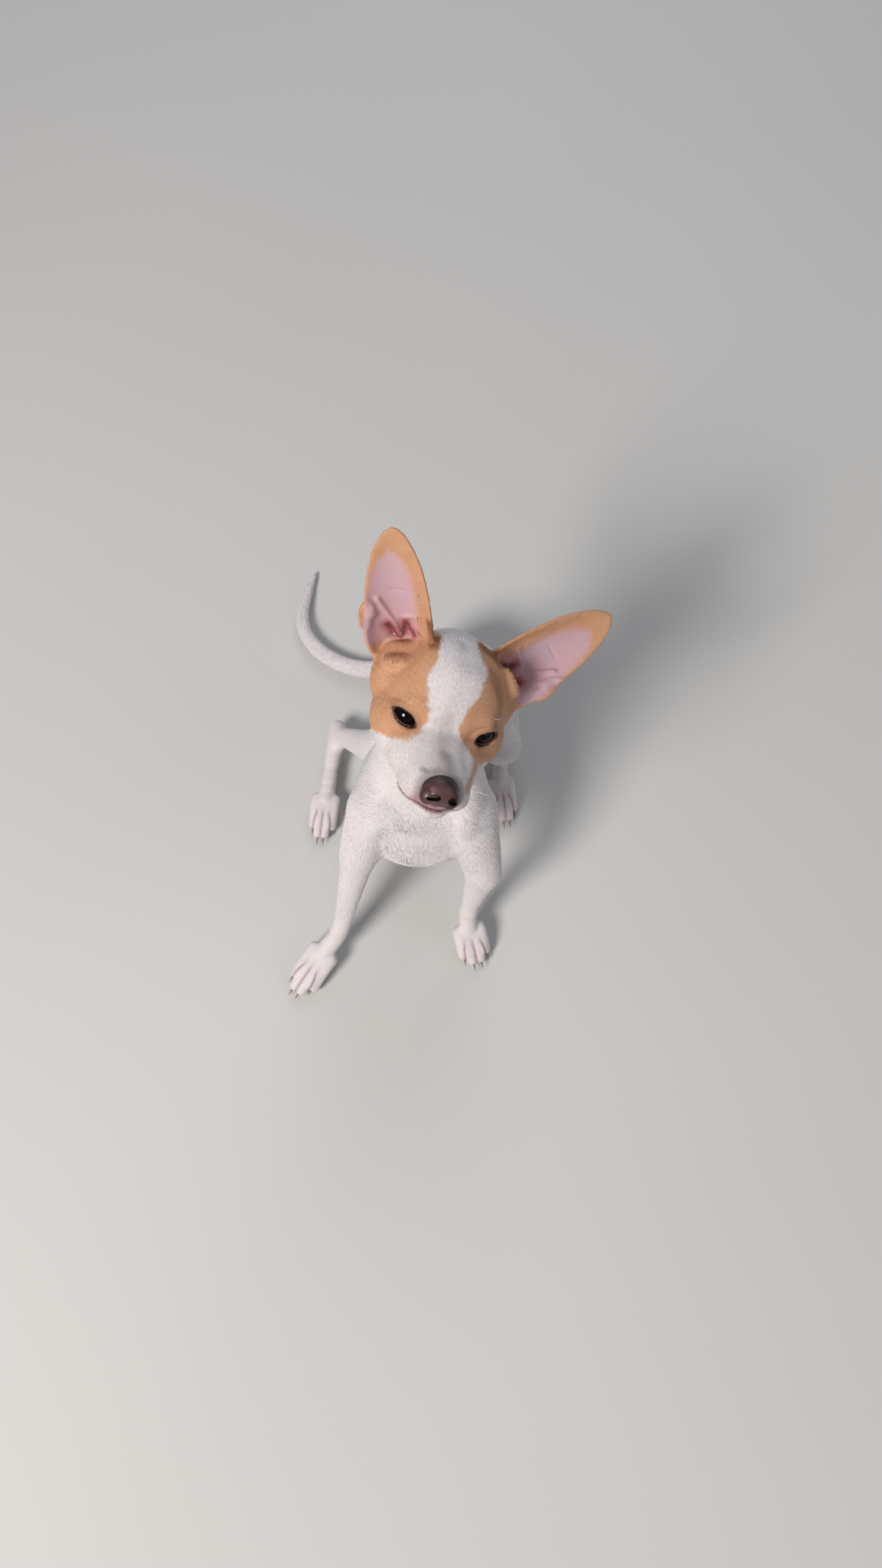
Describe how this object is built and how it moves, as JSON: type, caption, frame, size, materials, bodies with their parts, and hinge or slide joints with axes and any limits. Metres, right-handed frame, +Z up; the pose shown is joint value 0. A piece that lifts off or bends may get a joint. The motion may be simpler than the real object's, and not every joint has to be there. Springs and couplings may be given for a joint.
{
  "type": "chihuahua",
  "caption": "Smooth-coated chihuahua sitting with its forelegs spread and braced, head tipped up and large ears apart, as a still life-size model.",
  "frame": {"origin": "centre of the patch of rump that the dog sits on, on the floor", "axes": "+Z up from the floor, -Y ahead of the dog, +X to the dog's left"},
  "size_m": [0.1977, 0.3158, 0.2857],
  "materials": {
    "coat_white": "short flat white coat",
    "coat_tan": "short flat tan coat",
    "nose_leather": "damp pebbled liver-brown skin",
    "eye_gloss": "wet dark eye"
  },
  "bodies": {
    "root": {"head": "coat_white", "neck": "coat_white", "torso": "coat_white", "tail_base": "coat_white", "tail_tip": "coat_white", "ear_left": "coat_tan", "fore_leg_left": "coat_white", "fore_paw_left": "coat_white", "hind_leg_left": "coat_white", "hind_paw_left": "coat_white", "ear_right": "coat_tan", "fore_leg_right": "coat_white", "fore_paw_right": "coat_white", "hind_leg_right": "coat_white", "hind_paw_right": "coat_white", "eye_left": "eye_gloss", "eye_right": "eye_gloss", "nose": "nose_leather"}
  },
  "joints": []
}
